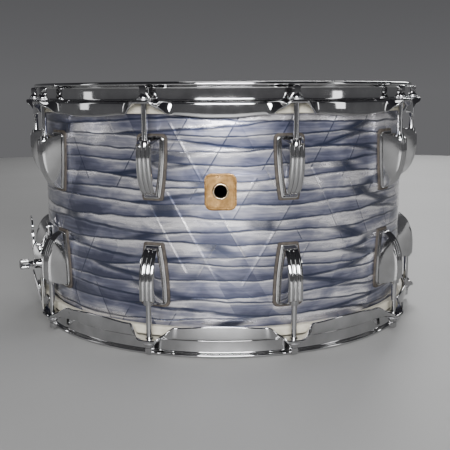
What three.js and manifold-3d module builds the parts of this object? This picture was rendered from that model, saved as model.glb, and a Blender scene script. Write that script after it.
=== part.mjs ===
// A 14 x 8 inch snare drum with ten lugs a side, as separate closed solids.
// Millimetres, +Z up. The origin is the centre of the lower hoop's bead, which the drum stands on.
// Angles count from the front (-Y) towards the right (+X); the strainer sits left of the front.
import * as THREE from "three";
import { mergeVertices } from "three/addons/utils/BufferGeometryUtils.js";
import Module from "manifold-3d";

const wasm = await Module();
wasm.setup();

// Driving dimensions
const GAP = 0.3;                          // clearance between neighbouring solids
const MID = 112;                          // height of the shell's mid-plane
const SHELL = { r: 177.3, wall: 7.5, height: 203.2, edge: 3.2 };
const WRAP = { thick: 0.7, margin: 2.2 };
const FILM = { thick: 0.4, drop: 10.5 };  // the head's film and the depth of its collar
const FLESH = { width: 5.4, height: 8, top: 6.6 };   // top: how far it lies below the bearing edge
const HOOP = { inner: 181, sheet: 2.3, wall: 14.4, bead: 5.4, flange: 12.3, earHalf: 5.5, earRun: 17 };
const RODS = { count: 10, circle: 192, radius: 2.4, length: 54, bore: 30 };
const LUG = { length: 54, from: 17.4, wide: 29.6, rodEnd: 27, tail: 17.5, reach: 20.5 };
const BADGE = { width: 26, height: 30, thick: 1, up: 25.2 };
const VENT = { hole: 6, bore: 5, tube: 5.7, flange: 7, lip: 1.2, up: 25.7 };
const WIRES = { strands: 20, pitch: 2, section: 1.2, plate: 12, end: 158 };
const STRAP = { width: 22, thick: 0.8, outer: 188.8, top: 36, under: 6.3 };
const GATE = { half: 25, floor: 4.2 };      // the lower hoop's opening for a strap, and the rim left below it
const STRAINER = { angle: -72, pin: { r: 188, z: 64 }, knobZ: 51.5, foot: 30 };
const TONGUE = { inner: 186, low: 18 };   // the steel tongue behind a strap, clear of the flesh hoop
const SEGMENTS = 50;                      // facets round the drum

const shellR = SHELL.r;
const wrapR = shellR + GAP + WRAP.thick;
const edgeZ = SHELL.height / 2;           // bearing edge, above or below the mid-plane
const seatR = wrapR + 0.4;                // where a casting's flat back lies
const rad = THREE.MathUtils.degToRad;

// Materials
const finish = (color, roughness, metalness) =>
  new THREE.MeshStandardMaterial({ color, roughness, metalness });
const chrome = finish(0xc9ccd1, 0.12, 1);
const steel = finish(0xb9bcc2, 0.3, 1);
const brass = finish(0xb08a45, 0.35, 1);
const maple = finish(0xd8b483, 0.55, 0);
const pearl = finish(0x8fa3c6, 0.15, 0.1);
const coated = finish(0xf1efe8, 0.7, 0);
const clear = finish(0xdfe3e6, 0.2, 0);
const aluminium = finish(0xc8c8c6, 0.4, 1);
const nylon = finish(0x20242b, 0.5, 0);

const drum = new THREE.Group();

function add(name, geometry, material, turn = 0) {
  const mesh = new THREE.Mesh(geometry, material);
  mesh.name = name;
  mesh.rotation.z = rad(turn);
  drum.add(mesh);
}

// Booleans
function solid(geometry) {
  const g = geometry.clone();
  g.deleteAttribute("normal");
  g.deleteAttribute("uv");
  const merged = mergeVertices(g, 1e-4);
  const vertProperties = new Float32Array(merged.attributes.position.array);
  const triVerts = new Uint32Array(merged.index.array);
  return new wasm.Manifold(new wasm.Mesh({ numProp: 3, vertProperties, triVerts }));
}

function surface(manifold) {
  const mesh = manifold.getMesh();
  const g = new THREE.BufferGeometry();
  g.setAttribute("position", new THREE.BufferAttribute(new Float32Array(mesh.vertProperties), 3));
  g.setIndex([...mesh.triVerts]);
  return g;
}

const cut = (geometry, tools) => surface(tools.reduce((body, t) => body.subtract(solid(t)), solid(geometry)));
const join = (...pieces) => surface(pieces.map(solid).reduce((a, b) => a.add(b)));

// Primitive shapes. x runs round the drum, r outwards (-Y) and z up, at the front.
function block(x0, x1, r0, r1, z0, z1) {
  const g = new THREE.BoxGeometry(x1 - x0, r1 - r0, z1 - z0);
  return g.translate((x0 + x1) / 2, -(r0 + r1) / 2, (z0 + z1) / 2);
}

function radialCylinder(radius, r0, r1, x, z, sides = 16) {
  return new THREE.CylinderGeometry(radius, radius, r1 - r0, sides).translate(x, -(r0 + r1) / 2, z);
}

function uprightCylinder(radius, z0, z1, r, sides = 12) {
  const g = new THREE.CylinderGeometry(radius, radius, z1 - z0, sides);
  return g.rotateX(Math.PI / 2).translate(0, -r, (z0 + z1) / 2);
}

// A plate with the outline [[r, z], ...], between x0 and x1
function sidePlate(outline, x0, x1) {
  const shape = new THREE.Shape(outline.map(([r, z]) => new THREE.Vector2(r, z)));
  const g = new THREE.ExtrudeGeometry(shape, { depth: x1 - x0, bevelEnabled: false, curveSegments: 8 });
  // the shape's x is r (-Y), its y is z, and the depth runs along x
  const m = new THREE.Matrix4().set(0, 0, 1, x0, -1, 0, 0, 0, 0, 1, 0, 0, 0, 0, 0, 1);
  g.applyMatrix4(m);
  return facing(g);
}

// Turns a mesh inside out when its volume is negative
function facing(g) {
  const merged = mergeVertices(stripped(g), 1e-5);
  const p = merged.attributes.position;
  const index = merged.index.array;
  const [a, b, c] = [new THREE.Vector3(), new THREE.Vector3(), new THREE.Vector3()];
  let volume = 0;
  for (let i = 0; i < index.length; i += 3) {
    a.fromBufferAttribute(p, index[i]);
    b.fromBufferAttribute(p, index[i + 1]);
    c.fromBufferAttribute(p, index[i + 2]);
    volume += a.dot(b.cross(c));
  }
  if (volume < 0) {
    for (let i = 0; i < index.length; i += 3) [index[i], index[i + 1]] = [index[i + 1], index[i]];
  }
  return merged;
}

function stripped(g) {
  const copy = g.clone();
  copy.deleteAttribute("normal");
  copy.deleteAttribute("uv");
  return copy;
}

// A ring or disc turned about the drum's axis from [[r, z], ...] above the mid-plane; side -1 mirrors it
function turned(profile, side = 1, closed = true) {
  const points = profile.map(([r, z]) => new THREE.Vector2(r, z));
  if (closed) points.push(points[0].clone());
  const g = new THREE.LatheGeometry(points, SEGMENTS).rotateX(Math.PI / 2);
  g.scale(1, 1, side).translate(0, 0, MID);
  return facing(g);
}

// A closed skin over rings of equal point counts, with flat ends
function lofted(rings) {
  const n = rings[0].length;
  const index = [];
  for (let k = 0; k + 1 < rings.length; k++) {
    for (let i = 0; i < n; i++) {
      const [p, q] = [k * n + i, k * n + ((i + 1) % n)];
      index.push(p, q, p + n, q, q + n, p + n);
    }
  }
  const last = (rings.length - 1) * n;
  for (let i = 1; i + 1 < n; i++) {
    index.push(0, i + 1, i);
    index.push(last, last + i, last + i + 1);
  }
  const g = new THREE.BufferGeometry();
  g.setAttribute("position", new THREE.Float32BufferAttribute(rings.flat(2), 3));
  g.setIndex(index);
  return facing(g);
}

// Shell, wrap, badge and vent
function shellAndWrap() {
  const inner = shellR - SHELL.wall;
  const ventCutter = (r0, r1) => radialCylinder(VENT.hole, r0, r1, 0, MID + VENT.up);
  const shell = turned([
    [inner, -edgeZ + SHELL.edge + 1], [shellR - SHELL.edge, -edgeZ], [shellR - 1, -edgeZ + 0.4],
    [shellR, -edgeZ + 1.6], [shellR, edgeZ - 1.6], [shellR - 1, edgeZ - 0.4], [shellR - SHELL.edge, edgeZ],
    [inner, edgeZ - SHELL.edge - 1],
  ]);
  add("shell", cut(shell, [ventCutter(inner - 5, shellR + 5)]), maple);

  const wrapEnd = edgeZ - WRAP.margin;
  const inside = shellR + GAP;
  const wrap = turned([[inside, -wrapEnd], [wrapR, -wrapEnd], [wrapR, wrapEnd], [inside, wrapEnd]]);
  add("wrap", cut(wrap, [ventCutter(shellR - 5, wrapR + 5)]), pearl);
}

function badgeAndVent() {
  const { width: w, height: h } = BADGE;
  const round = 6;
  const outline = new THREE.Shape();
  outline.moveTo(-w / 2 + round, -h / 2).lineTo(w / 2 - round, -h / 2);
  outline.quadraticCurveTo(w / 2, -h / 2, w / 2, -h / 2 + round).lineTo(w / 2, h / 2 - round);
  outline.quadraticCurveTo(w / 2, h / 2, w / 2 - round, h / 2).lineTo(-w / 2 + round, h / 2);
  outline.quadraticCurveTo(-w / 2, h / 2, -w / 2, h / 2 - round).lineTo(-w / 2, -h / 2 + round);
  outline.quadraticCurveTo(-w / 2, -h / 2, -w / 2 + round, -h / 2);
  const plate = new THREE.ExtrudeGeometry(outline,
    { depth: BADGE.thick, bevelEnabled: false, curveSegments: 4 });
  plate.rotateX(Math.PI / 2).translate(0, -seatR, MID + BADGE.up);
  const hole = radialCylinder(VENT.hole, seatR - 3, seatR + 5, 0, MID + VENT.up);
  add("badge", cut(facing(plate), [hole]), brass);

  // The grommet's tube, flared against the badge outside and the shell inside
  const front = seatR + BADGE.thick + GAP;
  const back = shellR - SHELL.wall - 0.5;
  const { bore, tube, flange, lip } = VENT;
  const profile = [[bore, back - lip], [flange, back - lip], [flange, back], [tube, back],
    [tube, front], [flange, front], [flange - 0.8, front + lip], [bore, front + lip]];
  const points = profile.map(([r, y]) => new THREE.Vector2(r, y));
  points.push(points[0].clone());
  const g = new THREE.LatheGeometry(points, 20).scale(1, -1, 1).translate(0, 0, MID + VENT.up);
  add("vent_grommet", facing(g), brass);
}

// Heads: a film over the bearing edge and the flesh hoop that holds its rim. side: 1 batter, -1 snare
function head(name, side, filmMaterial) {
  const under = edgeZ + GAP;
  const top = under + FILM.thick;
  const [inside, outside] = [wrapR + 0.35, wrapR + 0.35 + FILM.thick];
  add(`${name}_head`, turned([
    [0, under], [shellR - 1, under], [inside, under - 1.6], [inside, edgeZ - FILM.drop],
    [outside, edgeZ - FILM.drop], [outside, top - 1.6], [shellR - 0.6, top], [0, top],
  ], side, false), filmMaterial);
  const hoopIn = outside + GAP;
  const fleshTop = edgeZ - FLESH.top;
  add(`${name}_flesh_hoop`, turned([
    [hoopIn, fleshTop - FLESH.height], [hoopIn + FLESH.width, fleshTop - FLESH.height],
    [hoopIn + FLESH.width, fleshTop], [hoopIn, fleshTop],
  ], side), aluminium);
}

// Triple-flanged hoop: a beaded wall, a shelf over the flesh hoop, and a skirt that turns out into an ear
// at each rod
function hoopSection(angleFromRod) {
  const { smoothstep } = THREE.MathUtils;
  const { inner, sheet, wall, bead, flange, earHalf, earRun } = HOOP;
  const shelf = edgeZ - FLESH.top + GAP;
  const top = shelf + sheet + wall;
  const along = Math.abs(rad(angleFromRod)) * RODS.circle;
  const full = earHalf + earRun;
  const down = smoothstep(along, earHalf, full) * Math.PI / 2;
  const bendR = inner + bead + 0.2;
  // the skirt is shorter beside the ear and reaches its full depth towards the middle of the gap
  const short = 0.16 * smoothstep(along, 8, full) * (1 - smoothstep(along, full, 52));
  const reach = flange * (1 - 0.26 * Math.sin(2 * down) ** 2) * (1 - short);
  // a point of the flange, s along it from the bend and t across the sheet
  const flangePoint = (s, t) => [
    bendR + s * Math.cos(down) + t * Math.sin(down),
    shelf + sheet / 2 - s * Math.sin(down) + t * Math.cos(down),
  ];
  return [
    [inner, shelf], [inner, top], [inner + bead - 1.2, top], [inner + bead, top - 1.8],
    [inner + sheet, top - 4.4], [inner + sheet, shelf + sheet],
    [bendR - 0.6, shelf + sheet], flangePoint(1.6, sheet / 2), flangePoint(reach, sheet / 2),
    flangePoint(reach, -sheet / 2), flangePoint(1.6, -sheet / 2), [bendR - 0.6, shelf],
  ];
}

function hoop(side, rodAngles) {
  const pitch = 360 / RODS.count;
  const steps = [-pitch / 2, -11, -6.7, -4.9, -3.3, -1.8, 1.8, 3.3, 4.9, 6.7, 11];
  const n = hoopSection(0).length;
  const position = [];
  for (const rod of rodAngles) {
    for (const step of steps) {
      const a = rad(rod + step);
      for (const [r, z] of hoopSection(step)) {
        position.push(r * Math.sin(a), -r * Math.cos(a), MID + side * z);
      }
    }
  }
  const rows = rodAngles.length * steps.length;
  const index = [];
  for (let k = 0; k < rows; k++) {
    for (let i = 0; i < n; i++) {
      const [p, q] = [k * n + i, k * n + ((i + 1) % n)];
      const [p1, q1] = [((k + 1) % rows) * n + i, ((k + 1) % rows) * n + ((i + 1) % n)];
      index.push(p, q, p1, q, q1, p1);
    }
  }
  const g = new THREE.BufferGeometry();
  g.setAttribute("position", new THREE.Float32BufferAttribute(position, 3));
  g.setIndex(index);
  const shelf = MID + side * (edgeZ - FLESH.top);
  const holes = rodAngles.map((a) =>
    uprightCylinder(RODS.radius + 0.9, shelf - 8, shelf + 8, RODS.circle, 8).rotateZ(rad(a)));
  return cut(facing(g), holes);
}

// The lower hoop's gate: the wall, shelf and skirt are open where a strap goes through
function gated(geometry) {
  const opening = block(-GATE.half, GATE.half, HOOP.inner - 6, HOOP.inner + 30, GATE.floor, 40);
  const places = [STRAINER.angle, STRAINER.angle + 180];
  return cut(geometry, places.map((a) => opening.clone().rotateZ(rad(a))));
}

// Lug: a hollow-backed casting, here one body with its rod hole. z runs from its tail to its rod end
function lugGeometry() {
  const { length, wide, rodEnd, tail, reach } = LUG;
  // [share of the length, base width, spine width, spine reach]
  const stations = [
    [0, tail - 2, tail - 8, 2.4], [0.08, tail + 0.6, 10, 9], [0.28, tail + 5.5, 11.6, reach - 4.5],
    [0.55, tail + 10.6, 12.6, reach - 0.4], [0.84, wide, 13, reach - 0.6], [0.86, wide - 0.4, 13, reach - 1],
    [1, rodEnd - 3, 11, 3],
  ];
  const rings = stations.map(([t, base, spine, out]) => {
    const z = LUG.from + t * length;
    const low = Math.min(2.6, out);
    const shoulder = low + 0.2 * (out - low);
    const half = [[base / 2, 0], [base / 2, low - 0.2], [spine / 2 + 0.4, shoulder], [spine / 2, out]];
    const ring = [...half, ...half.map(([x, r]) => [-x, r]).reverse()];
    return ring.map(([x, r]) => [x, -(seatR + r), z]);
  });
  const end = LUG.from + length;
  const bore = uprightCylinder(RODS.radius + 0.5, end - RODS.bore, end + 5, RODS.circle, 8);
  return cut(lofted(rings), [bore]);
}

// Tension rod: shank, washer, collar and square head, along z above the mid-plane
function rodGeometry() {
  const shelfTop = edgeZ - FLESH.top + GAP + HOOP.sheet;
  const r = RODS.radius;
  // [height over the ear, radius, squareness]
  const stations = [
    [-RODS.length, r, 0], [GAP, r, 0], [GAP, 5.6, 0], [GAP + 1.4, 5.6, 0], [GAP + 1.5, 4.5, 0],
    [GAP + 3, 4, 0], [GAP + 5.2, 2.8, 1], [GAP + 10.4, 2.8, 1], [GAP + 11.3, 2, 1],
  ];
  const rings = stations.map(([h, radius, square]) => Array.from({ length: 8 }, (_, i) => {
    const a = (i / 8) * 2 * Math.PI;
    const corner = i % 2 ? THREE.MathUtils.lerp(1, Math.SQRT2, square) : 1;
    return [radius * corner * Math.cos(a), radius * corner * Math.sin(a) - RODS.circle, shelfTop + h];
  }));
  return lofted(rings);
}

function lugsAndRods(rodAngles) {
  const [lug, rod] = [lugGeometry(), rodGeometry()];
  for (const [name, side] of [["batter", 1], ["snare", -1]]) {
    const [l, r] = [lug, rod].map((g) => facing(g.clone().scale(1, 1, side).translate(0, 0, MID)));
    rodAngles.forEach((angle, i) => {
      add(`lug_${name}_${i + 1}`, l, chrome, angle);
      add(`rod_${name}_${i + 1}`, r, chrome, angle);
    });
  }
}

// Snare wires: the strands between two end plates, under the lower head
function snareWires() {
  const top = MID - edgeZ - GAP - FILM.thick - GAP;
  const { strands, pitch, section, plate, end } = WIRES;
  const pieces = [];
  const half = (strands * pitch) / 2;
  for (const s of [-1, 1]) {
    const [near, far] = [s * (end - plate), s * end].sort((a, b) => a - b);
    pieces.push(block(-half, half, near, far, top - 1.8, top));
  }
  for (let i = 0; i < strands; i++) {
    const x = (i - (strands - 1) / 2) * pitch;
    const [low, high] = [top - 0.3 - section, top - 0.3];
    pieces.push(block(x - section / 2, x + section / 2, -end + plate / 2, end - plate / 2, low, high));
  }
  add("snare_wires", join(...pieces), steel, STRAINER.angle);
}

// Strap: from under an end plate, out through the gate, and up into the clamp
function strapGeometry() {
  const { width, thick, outer, top, under } = STRAP;
  const start = WIRES.end - WIRES.plate + 2;
  const bend = 3;
  const outline = [
    [start, under], [outer - bend, under], [outer - 0.9, under + 0.9], [outer, under + bend], [outer, top],
    [outer - thick, top], [outer - thick, under + bend + 0.2], [outer - bend, under + thick],
    [start, under + thick],
  ];
  return sidePlate(outline, -width / 2, width / 2);
}

// Strainer: a bracket on the shell, a throw-off lever on a cross pin, and a sliding carriage with its knob
// and clamp
function strainer() {
  const { angle, pin, knobZ, foot } = STRAINER;
  const back = seatR;
  const plate = back + 2;
  const cheek = [
    [plate - 1, 48], [pin.r - 3, pin.z - 4.2], [pin.r, pin.z - 4.5], [pin.r + 3.2, pin.z - 3.2],
    [pin.r + 4.5, pin.z], [pin.r + 3.2, pin.z + 3.2], [pin.r, pin.z + 4.5], [plate - 1, 84],
  ];
  const pinHole = new THREE.CylinderGeometry(2.3, 2.3, 50, 12).rotateZ(Math.PI / 2);
  pinHole.translate(0, -pin.r, pin.z);
  const cheeks = [sidePlate(cheek, -13, -10.6), sidePlate(cheek, 10.6, 13)];
  const bracket = join(block(-13, 13, back, plate, foot, 92), ...cheeks);
  add("strainer_base", cut(bracket, [pinHole]), chrome, angle);

  // The lever's flat blade stands in front of the bracket, and its two ears carry the cross pin
  const [face, front] = [pin.r + 5.4, pin.r + 7];
  const ear = [
    [front, pin.z - 1], [pin.r + 2, pin.z - 4.2], [pin.r - 2, pin.z - 4.2], [pin.r - 4.2, pin.z],
    [pin.r - 2, pin.z + 4.2], [face, pin.z + 12], [front, pin.z + 12],
  ];
  const blade = new THREE.Shape();
  const tip = 99;
  blade.moveTo(-15, pin.z - 1).lineTo(-9.5, pin.z - 1).lineTo(-9.5, pin.z - 6);
  blade.lineTo(9.5, pin.z - 6).lineTo(9.5, pin.z - 1).lineTo(15, pin.z - 1);
  blade.lineTo(15, pin.z + 12).lineTo(11, pin.z + 18).lineTo(11, tip - 11);
  blade.absarc(0, tip - 11, 11, 0, Math.PI, false).lineTo(-11, pin.z + 18).lineTo(-15, pin.z + 12);
  const flat = new THREE.ExtrudeGeometry(blade,
    { depth: front - face, bevelEnabled: false, curveSegments: 8 });
  flat.rotateX(Math.PI / 2).translate(0, -face, 0);
  const shaft = new THREE.CylinderGeometry(2, 2, 32, 12).rotateZ(Math.PI / 2).translate(0, -pin.r, pin.z);
  const ears = [sidePlate(ear, -15, -13.3), sidePlate(ear, 13.3, 15)];
  add("strainer_lever", join(facing(flat), ...ears, shaft), chrome, angle);

  // The carriage slides between the cheeks; its hub takes the tension screw
  const slide = STRAP.outer - STRAP.thick - 0.4;
  const hub = radialCylinder(4.6, slide - 1, front - 0.4, 0, knobZ);
  const tongue = block(-10, 10, TONGUE.inner, slide, TONGUE.low, foot + 10);
  const carriage = join(block(-10, 10, plate + 0.4, slide, foot + 8, 58), tongue, hub);
  const screwBore = radialCylinder(2.3, slide - 4, front + 5, 0, knobZ);
  add("strainer_carriage", cut(carriage, [screwBore]), chrome, angle);

  const knob = [[0, slide - 3.6], [1.9, slide - 3.6], [1.9, front], [2.6, front + 0.4],
    [2.4, front + 2.4], [4.8, front + 4], [4.8, front + 12.4], [4, front + 13.4], [0, front + 13.4]];
  const knobTurned = new THREE.LatheGeometry(knob.map(([r, y]) => new THREE.Vector2(r, y)), 16);
  add("strainer_knob", facing(knobTurned.scale(1, -1, 1).translate(0, 0, knobZ)), chrome, angle);

  // The clamp plate holds the strap against the carriage and leans outwards to the hub
  const near = STRAP.outer + 0.4;
  const lean = [[near, 17], [near + 1.8, 17], [front + 0.6, 43], [front - 1.2, 43],
    [near + 0.5, 22.5], [near, 22.5]];
  const pad = block(-10, 10, near, near + 2.4, 18, 33);
  add("strainer_clamp", join(sidePlate(lean, -12, 12), pad), chrome, angle);
  add("strap_strainer", strapGeometry(), nylon, angle);
}

// Butt: the fixed holder opposite the strainer, with its own clamp plate and strap
function butt() {
  const angle = STRAINER.angle + 180;
  const slide = STRAP.outer - STRAP.thick - 0.4;
  const foot = STRAINER.foot;
  const plate = block(-13, 13, seatR, seatR + 2, foot, 62);
  const body = block(-12, 12, seatR + 1, slide, foot, 46);
  const tongue = block(-12, 12, TONGUE.inner, slide, TONGUE.low, foot + 2);
  add("butt_base", join(plate, body, tongue), chrome, angle);
  const near = STRAP.outer + 0.4;
  add("butt_clamp", facing(block(-12, 12, near, near + 2.6, 20, 42)), chrome, angle);
  add("strap_butt", strapGeometry(), nylon, angle);
}

const pitch = 360 / RODS.count;
const rodAngles = Array.from({ length: RODS.count }, (_, i) => (i - RODS.count / 2 + 0.5) * pitch);

shellAndWrap();
badgeAndVent();
head("batter", 1, coated);
head("snare", -1, clear);
add("batter_hoop", hoop(1, rodAngles), chrome);
add("snare_hoop", gated(hoop(-1, rodAngles)), chrome);
lugsAndRods(rodAngles);
snareWires();
strainer();
butt();

export default drum;
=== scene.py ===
"""A 14 x 8 inch snare drum: pearl-wrapped shell, chrome hoops, ten lugs a side, strainer, butt and wires.
Metres, +Z up, the badge towards -Y. Angles count from the front (-Y) towards the right (+X). What sits at the
side of the shell is built at the front, with heights from the mid-plane, and put() turns it to its place."""
import math

import bmesh
import bpy
from mathutils import Matrix, Vector


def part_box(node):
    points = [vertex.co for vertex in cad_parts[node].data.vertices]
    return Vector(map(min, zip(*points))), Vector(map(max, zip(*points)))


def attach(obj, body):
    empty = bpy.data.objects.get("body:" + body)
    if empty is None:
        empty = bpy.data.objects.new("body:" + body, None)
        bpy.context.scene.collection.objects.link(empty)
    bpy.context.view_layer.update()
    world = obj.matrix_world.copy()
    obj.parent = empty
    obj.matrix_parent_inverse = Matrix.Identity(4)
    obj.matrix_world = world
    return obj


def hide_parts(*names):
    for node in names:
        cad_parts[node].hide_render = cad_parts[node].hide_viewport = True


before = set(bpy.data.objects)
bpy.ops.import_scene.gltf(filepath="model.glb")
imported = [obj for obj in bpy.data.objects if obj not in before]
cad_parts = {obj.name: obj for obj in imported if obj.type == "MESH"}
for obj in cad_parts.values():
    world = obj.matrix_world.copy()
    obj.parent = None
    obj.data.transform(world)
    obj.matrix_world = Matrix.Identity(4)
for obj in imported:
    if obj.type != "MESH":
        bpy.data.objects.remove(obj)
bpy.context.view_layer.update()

MM = 0.001
TAU = 2 * math.pi

# Sizes read from the frame
shell_lo, shell_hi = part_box("shell")
MID = (shell_lo.z + shell_hi.z) / 2          # the shell's mid-plane
EDGE = (shell_hi.z - shell_lo.z) / 2         # its bearing edges, above and below the mid-plane
SHELL_R = shell_hi.x
wrap_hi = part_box("wrap")[1]
WRAP_R = wrap_hi.x
WRAP_END = wrap_hi.z - MID
HOOP_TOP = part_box("batter_hoop")[1].z - MID  # the batter hoop's bead, above the mid-plane
BADGE_LO, BADGE_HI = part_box("badge")

# Sizes of the fine pieces
WALL = 7.5 * MM                              # the wooden shell's thickness
ROD_CIRCLE = 192 * MM
SHELF = EDGE - 6.3 * MM                      # the hoop shelf's underside
SHEET = 2.3 * MM
HOOP_IN = 181 * MM
GATE_HALF, GATE_FLOOR = 25 * MM, 4.2 * MM
VENT_UP, VENT_HOLE = 25.7 * MM, 5.9 * MM     # the vent's height and its bore's radius in the shell
STRAINER_ANGLE = -72
BUTT_ANGLE = STRAINER_ANGLE + 180
SIDES = {"batter": 1, "snare": -1}
ROD_ANGLES = [-162 + 36 * i for i in range(10)]
ROOT = "shell_assembly"


# ---------------------------------------------------------------- camera, light and floor
def camera():
    """Eye level just under the upper rim, a little right of the badge, looking 10 degrees down."""
    data = bpy.data.cameras.new("camera")
    data.sensor_width = 36
    data.lens = 59.6
    cam = bpy.data.objects.new("camera", data)
    bpy.context.scene.collection.objects.link(cam)
    turn, pitch, yaw, roll = (math.radians(a) for a in (-0.34, 10.14, 0.97, -0.29))
    back = Matrix.Rotation(turn, 4, "Z") @ Vector((14.4 * MM, -768.7 * MM, MID + 104 * MM))
    heading = Matrix.Rotation(turn + yaw, 4, "Z")
    tilt = Matrix.Rotation(math.pi / 2 - pitch, 4, "X")
    cam.matrix_world = Matrix.Translation(back) @ heading @ tilt @ Matrix.Rotation(roll, 4, "Z")
    data.clip_start, data.clip_end = 0.01, 100
    bpy.context.scene.camera = cam


def softbox(name, place, target, size, power):
    data = bpy.data.lights.new(name, "AREA")
    data.shape = "RECTANGLE"
    data.size, data.size_y = size
    data.energy = power
    lamp = bpy.data.objects.new(name, data)
    bpy.context.scene.collection.objects.link(lamp)
    lamp.location = place
    lamp.rotation_euler = (Vector(target) - Vector(place)).to_track_quat("-Z", "Y").to_euler()


def studio():
    softbox("key", (0.05, -1.75, 0.62), (0, 0, 0.12), (0.95, 0.42), 39)
    softbox("right_strip", (1.6, -0.7, 0.6), (0, 0, 0.12), (0.2, 0.9), 2)
    softbox("left_strip", (-1.7, -0.3, 0.6), (0, 0, 0.12), (0.2, 0.9), 1.2)
    softbox("back", (0.5, 1.9, 0.8), (0, 0, 0.1), (1.1, 0.45), 18)
    softbox("top", (0, 0.2, 2.3), (0, 0, 0), (0.9, 0.9), 9)

    world = bpy.data.worlds.new("studio")
    bpy.context.scene.world = world
    world.use_nodes = True
    nt = world.node_tree
    bg = nt.nodes["Background"]
    coord = nt.nodes.new("ShaderNodeTexCoord")
    split = nt.nodes.new("ShaderNodeSeparateXYZ")
    ramp = nt.nodes.new("ShaderNodeValToRGB")
    nt.links.new(coord.outputs["Generated"], split.inputs[0])
    nt.links.new(split.outputs["Z"], ramp.inputs[0])
    nt.links.new(ramp.outputs[0], bg.inputs["Color"])
    stops = ramp.color_ramp.elements
    stops[0].position, stops[0].color = 0.0, (0.14, 0.14, 0.145, 1)
    stops[1].position, stops[1].color = 1.0, (0.03, 0.03, 0.035, 1)
    mid = stops.new(0.3)
    mid.color = (0.05, 0.05, 0.055, 1)
    bg.inputs["Strength"].default_value = 1.0

    floor = revolve("floor", [(0, 0), (1.9, 0)], 96, material=floor_paint())
    floor.location.z = -0.0002


# ---------------------------------------------------------------- materials
class Paint:
    """A Principled material, with short calls for its texture nodes."""

    def __init__(self, name, color=None, **values):
        self.m = bpy.data.materials.new(name)
        self.m.use_nodes = True
        self.nt = self.m.node_tree
        self.bsdf = self.nt.nodes["Principled BSDF"]
        if color:
            self.bsdf.inputs["Base Color"].default_value = (*color, 1)
        for key, v in values.items():
            self.bsdf.inputs[key.replace("_", " ")].default_value = v

    def node(self, kind, **settings):
        n = self.nt.nodes.new("ShaderNode" + kind)
        for key, v in settings.items():
            setattr(n, key, v)
        return n

    def link(self, a, b):
        self.nt.links.new(a, b)

    def feed(self, socket, value):
        """Sets a socket from a number, a tuple or another socket."""
        if isinstance(value, (int, float, tuple)):
            socket.default_value = value
        else:
            self.link(value, socket)

    def coord(self, kind="Object", scale=(1, 1, 1), turn=0):
        c = self.node("TexCoord")
        m = self.node("Mapping")
        m.inputs["Scale"].default_value = scale
        m.inputs["Rotation"].default_value = (0, 0, turn)
        self.link(c.outputs[kind], m.inputs["Vector"])
        return m.outputs[0]

    def noise(self, vector, scale, detail=3, rough=0.5, distortion=0):
        n = self.node("TexNoise")
        self.feed(n.inputs["Vector"], vector)
        n.inputs["Scale"].default_value = scale
        n.inputs["Detail"].default_value = detail
        n.inputs["Roughness"].default_value = rough
        n.inputs["Distortion"].default_value = distortion
        return n.outputs["Fac"]

    def voronoi(self, place, randomness=1.0, feature="F1"):
        """Cells over a 2-D point, or along a line when the place is a single number."""
        flat = place.type == "VECTOR"
        n = self.node("TexVoronoi", voronoi_dimensions="2D" if flat else "1D", feature=feature)
        n.inputs["Scale"].default_value = 1
        n.inputs["Randomness"].default_value = randomness
        self.link(place, n.inputs["Vector" if flat else "W"])
        return n

    def split(self, vector):
        n = self.node("SeparateXYZ")
        self.link(vector, n.inputs[0])
        return n.outputs[0], n.outputs[1]

    def point(self, x, y):
        n = self.node("CombineXYZ")
        self.link(x, n.inputs[0])
        self.link(y, n.inputs[1])
        return n.outputs[0]

    def channels(self, color):
        n = self.node("SeparateColor")
        self.link(color, n.inputs[0])
        return tuple(n.outputs)[:3]

    def math(self, op, a, b=0.0, c=0.0, clamp=False):
        n = self.node("Math", operation=op, use_clamp=clamp)
        for socket, v in zip(n.inputs, (a, b, c)):
            self.feed(socket, v)
        return n.outputs[0]

    def span(self, value, a, b, c=0.0, d=1.0, smooth=False):
        """value from a..b mapped to c..d, clamped."""
        n = self.node("MapRange", interpolation_type="SMOOTHSTEP" if smooth else "LINEAR")
        self.feed(n.inputs["Value"], value)
        for key, v in zip(("From Min", "From Max", "To Min", "To Max"), (a, b, c, d)):
            n.inputs[key].default_value = v
        return n.outputs[0]

    def mix(self, factor, a, b):
        n = self.node("Mix", data_type="RGBA")
        self.feed(n.inputs["Factor"], factor)
        for key, v in ((6, a), (7, b)):
            self.feed(n.inputs[key], (*v, 1) if isinstance(v, tuple) and len(v) == 3 else v)
        return n.outputs[2]

    def ramp(self, value, *stops):
        n = self.node("ValToRGB")
        self.feed(n.inputs[0], value)
        e = n.color_ramp.elements
        while len(e) < len(stops):
            e.new(0.5)
        for k, (at, color) in enumerate(stops):
            e[k].position = at
            e[k].color = (*color, 1)
        return n.outputs[0]

    def bump(self, height, strength, distance):
        n = self.node("Bump")
        self.feed(n.inputs["Height"], height)
        n.inputs["Strength"].default_value = strength
        n.inputs["Distance"].default_value = distance
        return n.outputs[0]

    def set(self, key, value):
        self.feed(self.bsdf.inputs[key], value)


def floor_paint():
    p = Paint("floor_paint", Roughness=0.55)
    p.set("Base Color", p.ramp(p.noise(p.coord(), 3), (0.3, (0.42, 0.42, 0.415)), (0.7, (0.46, 0.46, 0.455))))
    return p.m


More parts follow.
